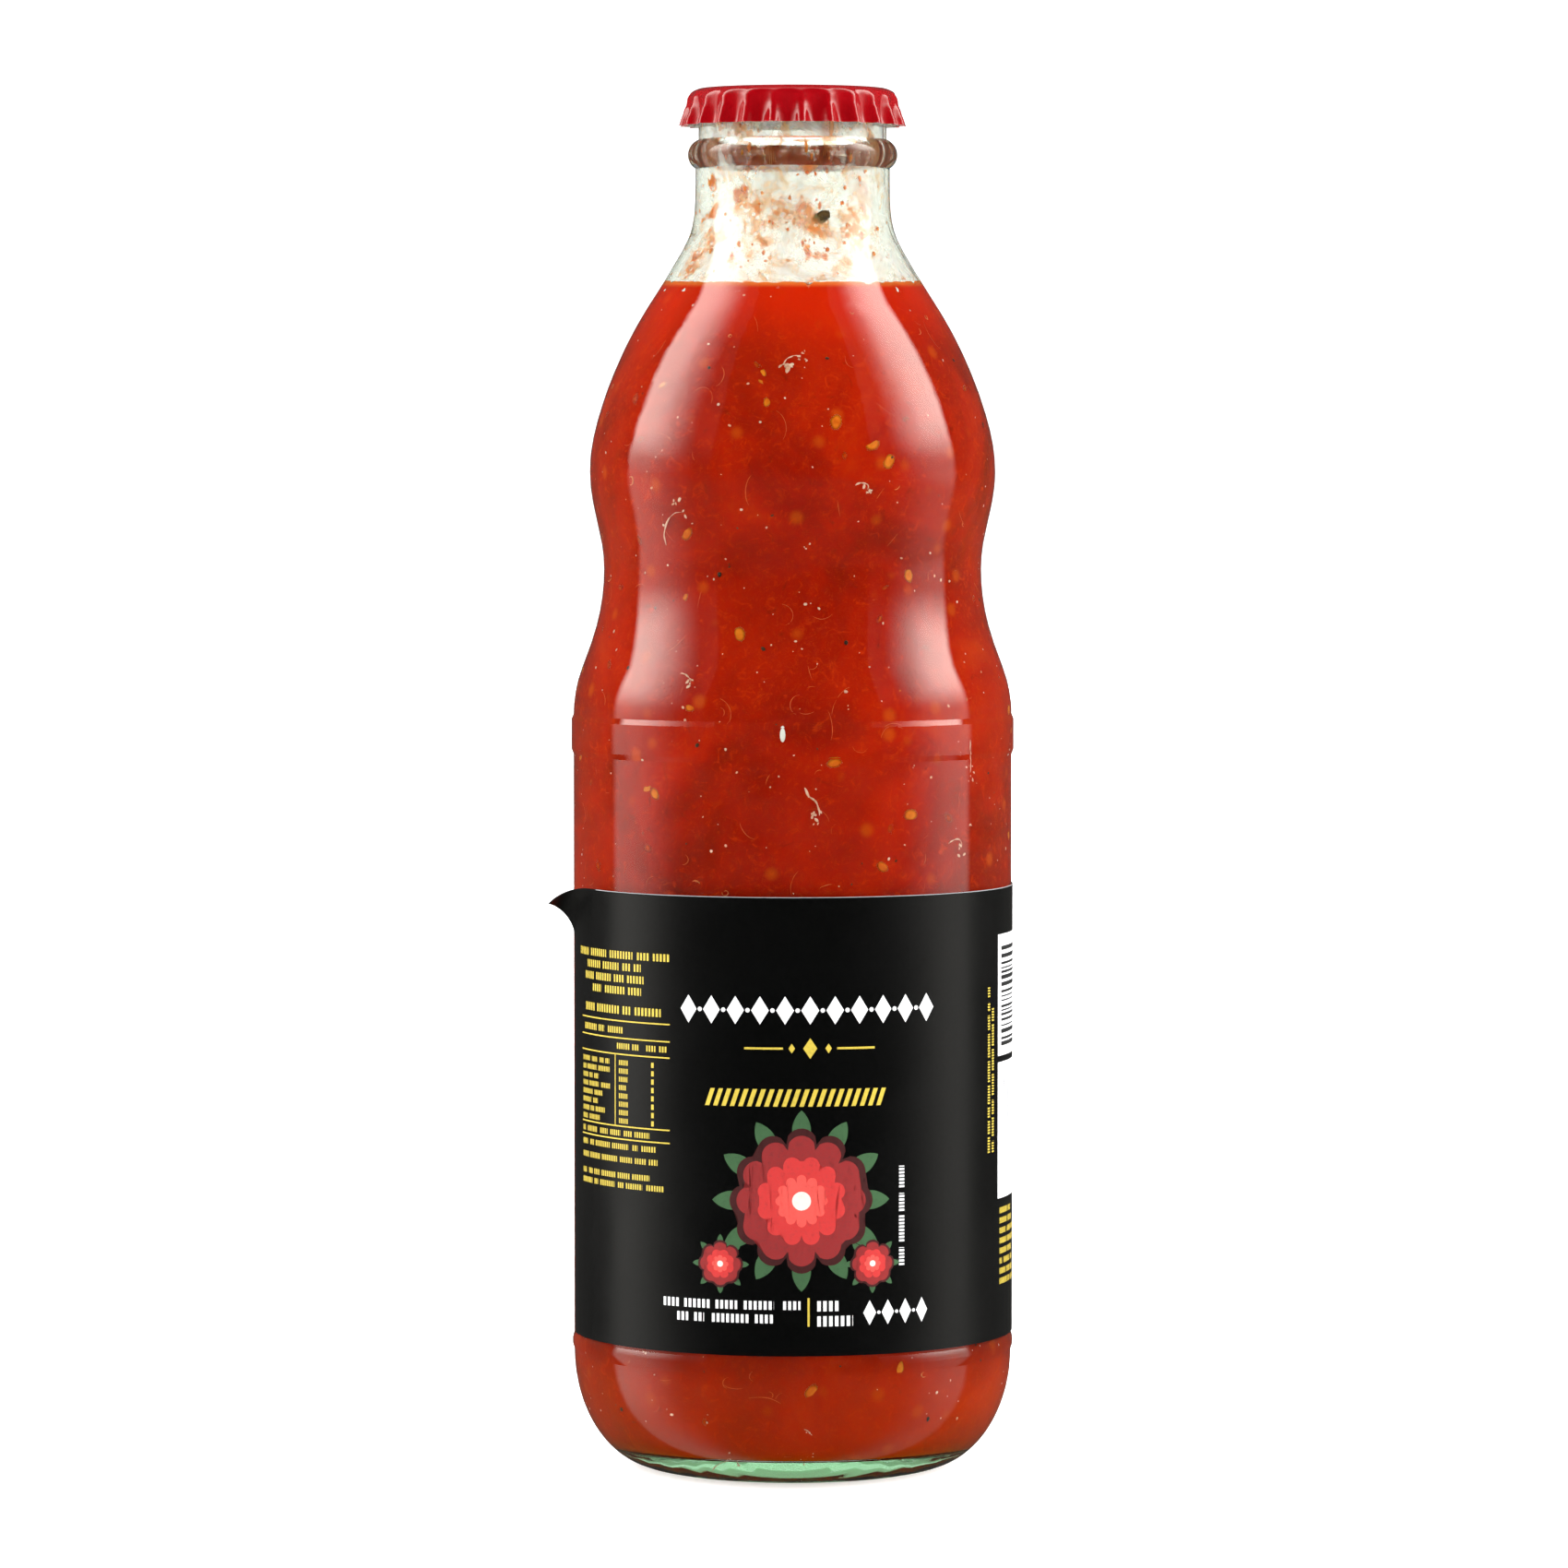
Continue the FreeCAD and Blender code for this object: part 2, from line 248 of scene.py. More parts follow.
def film_material():
    """Thin veil of juice on the glass: cloudy, nearly clear in places, with orange stains."""
    material, nodes, links, shader = new_material("juice_film")
    coords = object_coords(nodes)
    cloud = noise_node(nodes, links, coords, 85.0, detail=6.0, rough=0.62, distortion=0.9)
    stain = noise_node(nodes, links, coords, 190.0, detail=6.0, rough=0.65, distortion=1.2)
    stained = map_range(nodes, links, stain, 0.50, 0.68)
    links.new(mix_colour(nodes, links, stained, (0.98, 0.93, 0.87), (0.94, 0.42, 0.16)), shader.inputs["Base Color"])
    veil = map_range(nodes, links, cloud, 0.40, 0.66, 0.02, 0.34)
    patch = map_range(nodes, links, stain, 0.52, 0.70, 0.0, 0.45)
    both = nodes.new("ShaderNodeMath")
    both.operation = "MAXIMUM"
    links.new(veil, both.inputs[0])
    links.new(patch, both.inputs[1])
    links.new(both.outputs[0], shader.inputs["Alpha"])
    shader.inputs["Roughness"].default_value = 0.35
    shader.inputs["Subsurface Weight"].default_value = 1.0
    shader.inputs["Subsurface Radius"].default_value = (1.0, 0.8, 0.6)
    shader.inputs["Subsurface Scale"].default_value = 1.0 * MM
    bump(nodes, links, shader, stain, 0.1 * MM, 0.4)
    return material


def splash_material(name, thin, thick, reach, densest=0.95, foam=0.0, clear=0.0):
    """Splashed pulp: as clear as it is thin at its edges, and with foam pricked with fine clear dots.

    With clear, light from behind glows through it.
    """
    material, nodes, links, shader = new_material(name)
    coords = object_coords(nodes)
    depth = nodes.new("ShaderNodeAttribute")
    depth.attribute_name = "depth"
    body = noise_node(nodes, links, coords, 420.0, detail=4.0, rough=0.6, distortion=0.6)
    links.new(ramp(nodes, links, body, [(0.35, thin), (0.65, thick)]), shader.inputs["Base Color"])
    alpha = map_range(nodes, links, depth.outputs["Fac"], 0.0, reach, 0.0, densest)
    if foam:
        dots = nodes.new("ShaderNodeTexVoronoi")
        dots.inputs["Scale"].default_value = 700.0
        links.new(coords, dots.inputs["Vector"])
        solid = map_range(nodes, links, dots.outputs["Distance"], 0.16, 0.42, 1.0 - foam, 1.0)
        patchy = map_range(nodes, links, body, 0.30, 0.62, 0.35, 1.0)
        alpha = mix_colour(nodes, links, 1.0, alpha, solid, "MULTIPLY")
        alpha = mix_colour(nodes, links, 1.0, alpha, patchy, "MULTIPLY")
    links.new(alpha, shader.inputs["Alpha"])
    shader.inputs["Roughness"].default_value = 0.3
    shader.inputs["Transmission Weight"].default_value = clear
    shader.inputs["IOR"].default_value = 1.2
    shader.inputs["Subsurface Weight"].default_value = 0.8
    shader.inputs["Subsurface Radius"].default_value = (1.0, 0.4, 0.15)
    shader.inputs["Subsurface Scale"].default_value = 1.0 * MM
    bump(nodes, links, shader, body, 0.1 * MM, 0.5)
    return material


def lacquer_material():
    """Glossy red lacquer outside; bare grey metal on the sides that face the bottle."""
    material, nodes, links, shader = new_material("red_lacquer")
    coords = object_coords(nodes)
    spread = noise_node(nodes, links, coords, 300.0, detail=2.0)
    red = ramp(nodes, links, spread, [(0.3, (0.235, 0.0010, 0.0030)), (0.7, (0.270, 0.0015, 0.0042))])
    geometry = nodes.new("ShaderNodeNewGeometry")
    flat = nodes.new("ShaderNodeVectorMath")
    flat.operation = "MULTIPLY"
    flat.inputs[1].default_value = (1.0, 1.0, 0.0)
    links.new(geometry.outputs["Position"], flat.inputs[0])
    facing = nodes.new("ShaderNodeVectorMath")
    facing.operation = "DOT_PRODUCT"
    links.new(flat.outputs["Vector"], facing.inputs[0])
    links.new(geometry.outputs["Normal"], facing.inputs[1])
    inward = map_range(nodes, links, facing.outputs["Value"], -1.0 * MM, -4.0 * MM)
    colour = mix_colour(nodes, links, inward, red, (0.42, 0.40, 0.36))
    links.new(colour, shader.inputs["Base Color"])
    links.new(map_range(nodes, links, spread, 0.3, 0.7, 0.24, 0.30), shader.inputs["Roughness"])
    shader.inputs["Specular IOR Level"].default_value = 0.06
    shader.inputs["Coat Weight"].default_value = 0.8
    shader.inputs["Coat Roughness"].default_value = 0.03
    return material


def paper_material():
    """Black printed paper with a satin varnish, faint fibres and soft unevenness."""
    material, nodes, links, shader = new_material("black_label_paper")
    coords = object_coords(nodes)
    fibre = noise_node(nodes, links, coords, 1400.0, detail=3.0, rough=0.6)
    ripple = noise_node(nodes, links, coords, 45.0, detail=2.0)
    tone = ramp(nodes, links, fibre, [(0.3, (0.0010, 0.0010, 0.0010)), (0.7, (0.0024, 0.0024, 0.0023))])
    links.new(tone, shader.inputs["Base Color"])
    links.new(map_range(nodes, links, ripple, 0.3, 0.7, 0.28, 0.36), shader.inputs["Roughness"])
    shader.inputs["Specular IOR Level"].default_value = 0.26
    bump(nodes, links, shader, fibre, 0.012 * MM, 0.35)
    return material


def ink_material(name, colour, roughness=0.5):
    """Printing ink that lets a little of the paper's tooth through."""
    material, nodes, links, shader = new_material(name)
    coords = object_coords(nodes)
    tooth = noise_node(nodes, links, coords, 1500.0, detail=3.0)
    worn = tuple(c * 0.78 for c in colour)
    links.new(ramp(nodes, links, tooth, [(0.25, worn), (0.5, colour)]), shader.inputs["Base Color"])
    links.new(map_range(nodes, links, tooth, 0.3, 0.7, roughness, roughness + 0.12), shader.inputs["Roughness"])
    bump(nodes, links, shader, tooth, 0.01 * MM, 0.3)
    return material


# ---------------------------------------------------------------- mesh helpers

def add_piece(name, verts, faces, material, smooth=True):
    mesh = bpy.data.meshes.new(name)
    mesh.from_pydata([tuple(v) for v in verts], [], faces)
    mesh.validate()
    mesh.polygons.foreach_set("use_smooth", [smooth] * len(mesh.polygons))
    mesh.materials.append(material)
    piece = bpy.data.objects.new(name, mesh)
    bpy.context.scene.collection.objects.link(piece)
    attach(piece, "root")
    return piece


def add_depth(piece, depths):
    """Stores how thick the piece is at each point, for materials that thin out towards the edges."""
    piece.data.attributes.new("depth", "FLOAT", "POINT").data.foreach_set("value", depths)


def around(angle, radius, height):
    """Point at an angle round from the front, to the right seen from the front."""
    return Vector((radius * math.sin(angle), -radius * math.cos(angle), height))


def filling_profile():
    """Radius and height down the CAD filling's outline, from the middle of its floor to its top edge."""
    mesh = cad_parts["crushed_tomatoes"].data
    seam = {(round(v.co.x, 7), round(v.co.z, 7)) for v in mesh.vertices if abs(v.co.y) < 1e-7 and v.co.x >= 0}
    middle = FILL_TOP / 2
    outline = sorted(seam, key=lambda p: math.atan2(p[1] - middle, p[0]))
    return [p for p in outline if p[0] > 0.6 * outline[-1][0] or p[1] < middle]


PROFILE = filling_profile()
WALL_LINE = sorted((z, r) for r, z in PROFILE if r > 0.3 * FILL_R)


def wall_radius(height):
    """Inner radius of the glass at a height."""
    if height <= WALL_LINE[0][0]:
        return WALL_LINE[0][1]
    for (z0, r0), (z1, r1) in zip(WALL_LINE, WALL_LINE[1:]):
        if z0 <= height <= z1:
            return r0 + (r1 - r0) * (height - z0) / max(z1 - z0, 1e-9)
    return WALL_LINE[-1][1]


def wall_frame(angle, height):
    """Point on the glass's inside with its outward normal and the two directions along it."""
    step = 0.5 * MM
    lower = around(angle, wall_radius(height - step), height - step)
    upper = around(angle, wall_radius(height + step), height + step)
    up = (upper - lower).normalized()
    side = Vector((math.cos(angle), math.sin(angle), 0.0))
    out = side.cross(up).normalized()
    return around(angle, wall_radius(height), height), out, side, up


def random_place(rng, low=7 * MM, high=None):
    """Even scatter over the filling's outside."""
    high = high or FILL_TOP - 2 * MM
    while True:
        height = rng.uniform(low, high)
        if rng.random() < wall_radius(height) / FILL_R:
            return rng.uniform(-math.pi, math.pi), height


# ---------------------------------------------------------------- filling

def sauce(material):
    """Surface of revolution a little larger than the hollow it fills, with soft relief and a level top."""
    columns = 300
    outline = [Vector((r, z)) for r, z in PROFILE]
    side = [outline[0]]
    for a, b in zip(outline, outline[1:]):
        steps = max(1, round((b - a).length / (0.85 * MM)))
        side += [a.lerp(b, (i + 1) / steps) for i in range(steps)]
    rows = []
    for i, point in enumerate(side):
        along = side[min(i + 1, len(side) - 1)] - side[max(i - 1, 0)]
        out = Vector((along.y, -along.x)).normalized()
        rows.append(point + out * INTO_WALL)
    rows[0].x = 0.0
    rim = rows[-1].x
    rows[-1].y = FILL_TOP
    rows += [Vector((rim * share, FILL_TOP - 0.3 * MM * (1 - share))) for share in (0.97, 0.9, 0.75, 0.5, 0.25)]
    verts = [(0.0, 0.0, rows[0].y)]
    for row in rows[1:]:
        for j in range(columns):
            angle = 2 * math.pi * j / columns
            point = around(angle, row.x, row.y)
            lift = noise.noise(point * 160) + 0.6 * noise.noise(point * 420)
            point += Vector((point.x, point.y, 0)).normalized() * (lift * PULP_RELIEF)
            if row.y > FILL_TOP - 1.5 * MM:
                point.z += min(0.0, noise.noise(point * 300) + 0.7 * noise.noise(point * 900)) * 0.7 * MM
            verts.append(point)
    count = len(rows) - 1
    faces = [(0, 1 + (j + 1) % columns, 1 + j) for j in range(columns)]
    for i in range(count - 1):
        for j in range(columns):
            a, b = 1 + i * columns + j, 1 + i * columns + (j + 1) % columns
            faces.append((a, b, b + columns, a + columns))
    verts.append((0.0, 0.0, FILL_TOP - 0.3 * MM))
    last = 1 + (count - 1) * columns
    faces += [(last + j, last + (j + 1) % columns, len(verts) - 1) for j in range(columns)]
    piece = add_piece("crushed_tomato_pulp", verts, faces, material)
    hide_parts("crushed_tomatoes")
    return piece


def blob(verts, faces, centre, axes, rng, rings=6, around_count=9, roughness=0.12, depths=None):
    """Adds a lumpy closed ball, stretched along three axes given with their lengths, and how deep it is where."""
    start = len(verts)
    seed = Vector([rng.uniform(-50, 50) for _ in range(3)])
    verts.append(centre - axes[2])
    if depths is not None:
        depths.append(1.0)
        for i in range(1, rings):
            depths += [1 - math.sin(math.pi * i / rings)] * around_count
        depths.append(1.0)
    for i in range(1, rings):
        tilt = math.pi * i / rings
        for j in range(around_count):
            turn = 2 * math.pi * j / around_count
            way = Vector((math.sin(tilt) * math.cos(turn), math.sin(tilt) * math.sin(turn), -math.cos(tilt)))
            size = 1 + roughness * noise.noise(way * 1.7 + seed)
            verts.append(centre + (axes[0] * way.x + axes[1] * way.y + axes[2] * way.z) * size)
    verts.append(centre + axes[2])
    for j in range(around_count):
        k = (j + 1) % around_count
        faces.append((start, start + 1 + k, start + 1 + j))
        for i in range(rings - 2):
            a, b = start + 1 + i * around_count + j, start + 1 + i * around_count + k
            faces.append((a, b, b + around_count, a + around_count))
        top = start + 1 + (rings - 2) * around_count
        faces.append((top + j, top + k, len(verts) - 1))


def thread(verts, faces, points, width, sides=5):
    """Adds a closed tapering tube through the points."""
    start = len(verts)
    last = len(points) - 1
    for i, point in enumerate(points):
        along = (points[min(i + 1, last)] - points[max(i - 1, 0)]).normalized()
        across = along.orthogonal().normalized()
        other = along.cross(across)
        reach = width * (0.25 + 0.75 * math.sin(math.pi * (i + 0.5) / (last + 1)))
        for j in range(sides):
            turn = 2 * math.pi * j / sides
            verts.append(point + (across * math.cos(turn) + other * math.sin(turn)) * reach)
    for i in range(last):
        for j in range(sides):
            a, b = start + i * sides + j, start + i * sides + (j + 1) % sides
            faces.append((a, b, b + sides, a + sides))
    faces.append([start + j for j in reversed(range(sides))])
    faces.append([start + last * sides + j for j in range(sides)])


def turned_pair(side, up, angle):
    return (side * math.cos(angle) + up * math.sin(angle), up * math.cos(angle) - side * math.sin(angle))


def add_seed(verts, faces, depths, rng, angle, height, sunk, size=1.0):
    """Flat oval seed, lying askew against the glass."""
    point, out, side, up = wall_frame(angle, height)
    long_way, wide_way = turned_pair(side, up, rng.uniform(0, math.pi))
    axes = (long_way * 1.75 * MM * size, wide_way * 1.2 * MM * size, out * 0.2 * MM)
    tilt = Matrix.Rotation(rng.uniform(-0.14, 0.14), 3, long_way)
    blob(verts, faces, point + out * sunk, [tilt @ a for a in axes], rng, 10, 16, 0.22, depths)


def seeds(name, count, seed, deepest, material, placed=()):
    """Scattered seeds; a few stand where the eye falls on them."""
    rng = random.Random(seed)
    verts, faces, depths = [], [], []
    for turn, height in placed:
        add_seed(verts, faces, depths, rng, math.radians(turn), height * MM, 0.18 * MM)
    for _ in range(count):
        angle, height = random_place(rng)
        sunk = rng.uniform(deepest, 0.2) * MM
        add_seed(verts, faces, depths, rng, angle, height, sunk, rng.uniform(0.5, 1.05))
    add_depth(add_piece(name, verts, faces, material), depths)


def wall_path(rng, length, steps, bend, depth):
    """Wandering line over the inside of the glass."""
    angle, height = random_place(rng)
    heading = rng.uniform(0, 2 * math.pi)
    turn = rng.uniform(-bend, bend)
    points = []
    for _ in range(steps):
        point, out, _, _ = wall_frame(angle, height)
        points.append(point + out * depth)
        heading += turn + rng.uniform(-0.3, 0.3) * bend
        stride = length / steps
        angle += math.cos(heading) * stride / wall_radius(height)
        height = min(max(height + math.sin(heading) * stride, 7 * MM), FILL_TOP - 2 * MM)
    return points


def fibres(material):
    """Fine pale threads of tomato flesh."""
    rng = random.Random(23)
    verts, faces = [], []
    for _ in range(FIBRES):
        length = rng.uniform(1.5, 7.0) * MM
        points = wall_path(rng, length, 12, 0.28, rng.uniform(0.16, 0.27) * MM)
        thread(verts, faces, points, rng.uniform(0.035, 0.085) * MM)
    return add_piece("flesh_fibres", verts, faces, material)


def scraps(material):
    """Small curled bits of skin and core."""
    rng = random.Random(37)
    verts, faces = [], []
    for _ in range(SCRAPS):
        length = rng.uniform(1.2, 3.6) * MM
        points = wall_path(rng, length, 12, 0.6, 0.24 * MM)
        thread(verts, faces, points, rng.uniform(0.09, 0.2) * MM)
    return add_piece("skin_scraps", verts, faces, material)


def curl(verts, faces, rng, turn, height, size, loops, width, lean):
    """One larger scrap that curls up on itself, uneven in width, with crumbs beside it."""
    points = []
    across, rise, heading = 0.0, 0.0, lean
    for i in range(30):
        share = i / 29
        bend = 0.55 + 2.4 * noise.noise(Vector((share * 7, size * 900, lean)))
        heading += 2 * math.pi * loops / 30 * bend
        across += 0.09 * size * math.cos(heading)
        rise += 0.09 * size * math.sin(heading)
        point, out, _, _ = wall_frame(math.radians(turn) + across / wall_radius(height), height + rise)
        points.append(point + out * 0.24 * MM)
    for first in (0, 9, 19):
        thread(verts, faces, points[first:first + 12], width * rng.uniform(0.35, 1.1), 6)
    for _ in range(7):
        point, out, side, up = wall_frame(math.radians(turn) + rng.uniform(-1, 1) * 0.6 * size / wall_radius(height),
                                          height + rng.uniform(-1, 1) * 0.7 * size)
        long_way, wide_way = turned_pair(side, up, rng.uniform(0, math.pi))
        lump = width * rng.uniform(0.5, 1.5)
        axes = (long_way * lump * 1.8, wide_way * lump, out * lump * 0.5)
        blob(verts, faces, point + out * 0.24 * MM, axes, rng, 5, 8, 0.5)


def curls(name, places, material):
    rng = random.Random(61)
    verts, faces = [], []
    for turn, height, size, loops, width, lean in places:
        curl(verts, faces, rng, turn, height * MM, size * MM, loops, width * MM, lean)
    return add_piece(name, verts, faces, material)


def scattered(name, count, seed, smallest, largest, depth, material, flat=0.6):
    rng = random.Random(seed)
    verts, faces = [], []
    for _ in range(count):
        angle, height = random_place(rng)
        point, out, side, up = wall_frame(angle, height)
        long_way, wide_way = turned_pair(side, up, rng.uniform(0, math.pi))
        size = smallest + (largest - smallest) * rng.random() ** 2.5
        axes = (long_way * size * rng.uniform(1.0, 1.6), wide_way * size, out * size * flat)
        blob(verts, faces, point + out * depth, axes, rng, 4, 6, 0.3)
    return add_piece(name, verts, faces, material)


# ---------------------------------------------------------------- splashes in the neck

def smear(name, material, low, high, threshold, thickness, scale, seed, stretch=0.5, patches=()):
    """Patches of juice on the inside of the glass where a noise field is high, thinning out to their edges.

    Each of patches is a turn in degrees, a height and a reach in millimetres, and how much it lifts the field.
    """
    cell = 0.32 * MM
    shift = Vector((seed, -seed, 2 * seed))
    mean_r = neck_radius((low + high) / 2)
    columns = round(2 * math.pi * mean_r / cell)
    rows = round((high - low) / cell)

    def strength(i, j):
        angle = 2 * math.pi * j / columns
        height = low + (high - low) * i / rows
        place = around(angle, mean_r, height * stretch) * scale + shift
        value = noise.noise(place) + 0.5 * noise.noise(place * 2.3) + 0.25 * noise.noise(place * 5.1)
        for turn, level, reach, lift in patches:
            sideways = math.remainder(angle - math.radians(turn), 2 * math.pi) * mean_r / MM
            value += lift * math.exp(-(sideways**2 + (height / MM - level)**2) / reach**2)
        return value - threshold

    field = [[strength(i, j) for j in range(columns)] for i in range(rows + 1)]
    verts, faces, index, depths = [], [], {}, []

    def vertex(i, j, layer):
        j %= columns
        key = (i, j, layer)
        if key not in index:
            height = low + (high - low) * i / rows
            radius = neck_radius(height)
            depth = thickness * math.sqrt(max(field[i][j], 0.0)) + 0.01 * MM
            reach = radius + 0.06 * MM if layer == 0 else radius - depth
            index[key] = len(verts)
            verts.append(around(2 * math.pi * j / columns, reach, height))
            depths.append(max(field[i][j], 0.0))
        return index[key]

    def filled(i, j):
        if not 0 <= i < rows:
            return False
        corners = (field[i][j % columns], field[i][(j + 1) % columns])
        above = (field[i + 1][j % columns], field[i + 1][(j + 1) % columns])
        return sum(corners + above) > 0

    for i in range(rows):
        for j in range(columns):
            if not filled(i, j):
                continue
            corners = [(i, j), (i, j + 1), (i + 1, j + 1), (i + 1, j)]
            faces.append([vertex(*c, 0) for c in corners])
            faces.append([vertex(*c, 1) for c in reversed(corners)])
            sides = [((i - 1, j), 0, 1), ((i, j + 1), 1, 2), ((i + 1, j), 2, 3), ((i, j - 1), 3, 0)]
            for beside, a, b in sides:
                if not filled(beside[0], beside[1] % columns):
                    faces.append([
                        vertex(*corners[b], 0), vertex(*corners[a], 0),
                        vertex(*corners[a], 1), vertex(*corners[b], 1),
                    ])
    add_depth(add_piece(name, verts, faces, material), depths)


def juice_film(material):
    """Thin veil over the whole inside of the glass above the filling."""
    columns, rows = 160, 60
    low, high = FILL_TOP + 0.1 * MM, BOTTLE_TOP - 2 * MM
    verts, faces = [], []
    for depth in (-0.05 * MM, 0.05 * MM):
        for i in range(rows + 1):
            height = low + (high - low) * i / rows
            verts += [around(2 * math.pi * j / columns, neck_radius(height) - depth, height) for j in range(columns)]
    layer = columns * (rows + 1)
    for i in range(rows):
        for j in range(columns):
            a, b = i * columns + j, i * columns + (j + 1) % columns
            faces.append((a, b, b + columns, a + columns))
            faces.append((a + layer, a + columns + layer, b + columns + layer, b + layer))
    for j in range(columns):
        k = (j + 1) % columns
        faces.append((k, j, j + layer, k + layer))
        end = rows * columns
        faces.append((end + j, end + k, end + k + layer, end + j + layer))
    return add_piece("juice_film", verts, faces, material)


def bottle_inside():
    """Height and radius pairs of the glass's inner side above the filling, from the CAD bottle."""
    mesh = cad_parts["bottle"].data
    seam = sorted({(round(v.co.z, 6), round(v.co.x, 6)) for v in mesh.vertices
                   if abs(v.co.y) < 1e-6 and v.co.x > 0 and v.co.z > FILL_TOP - 15 * MM})
    bore = min(r for z, r in seam)
    inner = []
    for z, r in seam:
        expected = inner[-1][1] if inner else None
        if z > BOTTLE_TOP - 0.6 * MM:
            continue
        if expected is None or r <= expected + 0.01 * MM:
            if r >= bore - 0.01 * MM:
                inner.append((z, r))
    return inner


INSIDE = bottle_inside()


def neck_radius(height):
    if height <= INSIDE[0][0]:
        return INSIDE[0][1]
    for (z0, r0), (z1, r1) in zip(INSIDE, INSIDE[1:]):
        if z0 <= height <= z1:
            return r0 + (r1 - r0) * (height - z0) / max(z1 - z0, 1e-9)
    return INSIDE[-1][1]


def glass_bubble(material):
    """One long air bubble flattened against the glass."""
    verts, faces = [], []
    point, out, side, up = wall_frame(math.radians(-2.7), 140 * MM)
    blob(verts, faces, point + out * 0.25 * MM, (side * 0.5 * MM, up * 1.35 * MM, out * 0.25 * MM), random.Random(2),
         9, 14, 0.05)
    return add_piece("air_bubble", verts, faces, material)


def droplets(name, count, seed, smallest, largest, material):
    """Small drops of juice on the inside of the neck."""
    rng = random.Random(seed)
    verts, faces, depths = [], [], []
    for _ in range(count):
        angle = rng.uniform(-math.pi, math.pi)
        height = rng.uniform(FILL_TOP + 1 * MM, BOTTLE_TOP - 6 * MM)
        size = smallest + (largest - smallest) * rng.random() ** 2
        side = Vector((math.cos(angle), math.sin(angle), 0))
        up = Vector((0, 0, 1))
        axes = (side * size, up * size * rng.uniform(0.9, 2.0), side.cross(up) * size * 0.5)
        blob(verts, faces, around(angle, neck_radius(height), height), axes, rng, 8, 10, 0.6, depths)
    add_depth(add_piece(name, verts, faces, material), depths)


def herb_scrap(material):
    """One dark scrap of leaf stuck to the inside of the neck."""
    verts, faces = [], []
    rng = random.Random(5)
    angle, height = math.radians(18), BOTTLE_TOP - 24.4 * MM
    centre = around(angle, neck_radius(height) - 0.2 * MM, height)
    side = Vector((math.cos(angle), math.sin(angle), 0))
    up = Vector((0, 0, 1))
    out = side.cross(up)
    long_way, wide_way = turned_pair(side, up, 0.5)
    blob(verts, faces, centre, (long_way * 1.6 * MM, wide_way * 1.1 * MM, out * 0.3 * MM), rng, 8, 18, 0.9)
    return add_piece("herb_scrap", verts, faces, material)


# ---------------------------------------------------------------- printed label

def box_shape(left, bottom, right, top, ease=0.0):
    """Rectangle with optional rounded corners, in label millimetres."""
    if not ease:
        return [(left, bottom), (right, bottom), (right, top), (left, top)]
    centres = [(right - ease, bottom + ease, -90), (right - ease, top - ease, 0),
               (left + ease, top - ease, 90), (left + ease, bottom + ease, 180)]
    points = []
    for x, y, start in centres:
        for step in range(5):
            turn = math.radians(start + 22.5 * step)
            points.append((x + ease * math.cos(turn), y + ease * math.sin(turn)))
    return points


def oval_shape(x, y, wide, tall, tilt=0.0, points=36):
    shape = []
    for i in range(points):
        turn = 2 * math.pi * i / points
        u, v = wide * math.cos(turn), tall * math.sin(turn)
        shape.append((x + u * math.cos(tilt) - v * math.sin(tilt), y + u * math.sin(tilt) + v * math.cos(tilt)))
    return shape


def leaf_shape(x, y, length, width, tilt):
    """Pointed leaf that starts at a point and runs along tilt."""
    shape = []
    for i in range(13):
        share = i / 12
        shape.append((share * length, width / 2 * math.sin(math.pi * share) ** 0.8))
    shape += [(u, -v) for u, v in reversed(shape[1:-1])]
    return [(x + u * math.cos(tilt) - v * math.sin(tilt), y + u * math.sin(tilt) + v * math.cos(tilt))
            for u, v in shape]


def printed(name, shapes, material, layer=1):
    """Ink shapes wrapped on the label's face as thin closed pieces."""
    ink = 0.012 * MM
    flat = bmesh.new()
    for shape in shapes:
        flat.faces.new([flat.verts.new((s, 0.0, z)) for s, z in shape])
    notched = [face for face in flat.faces if len(face.verts) > 60]
    bmesh.ops.triangulate(flat, faces=notched)
    lowest = min(s for shape in shapes for s, _ in shape)
    highest = max(s for shape in shapes for s, _ in shape)
    cut = math.ceil(lowest)
    while cut < highest:
        geometry = list(flat.verts) + list(flat.edges) + list(flat.faces)
        bmesh.ops.bisect_plane(flat, geom=geometry, plane_co=(cut, 0, 0), plane_no=(1, 0, 0))
        cut += 1.5
    bmesh.ops.recalc_face_normals(flat, faces=flat.faces)
    for face in flat.faces:
        if face.normal.y > 0:
            face.normal_flip()
    lift = ink * layer + 0.008 * MM
    verts = []
    for radius in (LABEL_R + lift, LABEL_R - 0.02 * MM):
        verts += [around(v.co.x * MM / LABEL_R, radius, v.co.z * MM) for v in flat.verts]
    flat.verts.index_update()
    count = len(flat.verts)
    faces = []
    for face in flat.faces:
        loop = [v.index for v in face.verts]
        faces.append(loop)
        faces.append([i + count for i in reversed(loop)])
    for edge in flat.edges:
        if len(edge.link_faces) != 1:
            continue
        loop = [v.index for v in edge.link_faces[0].verts]
        a, b = (v.index for v in edge.verts)
        if loop[(loop.index(a) + 1) % len(loop)] != b:
            a, b = b, a
        faces.append([b, a, a + count, b + count])
    flat.free()
    return add_piece(name, verts, faces, material, smooth=False)


def lozenge(x, y, wide, tall):
    return [(x + wide / 2, y), (x, y + tall / 2), (x - wide / 2, y), (x, y - tall / 2)]


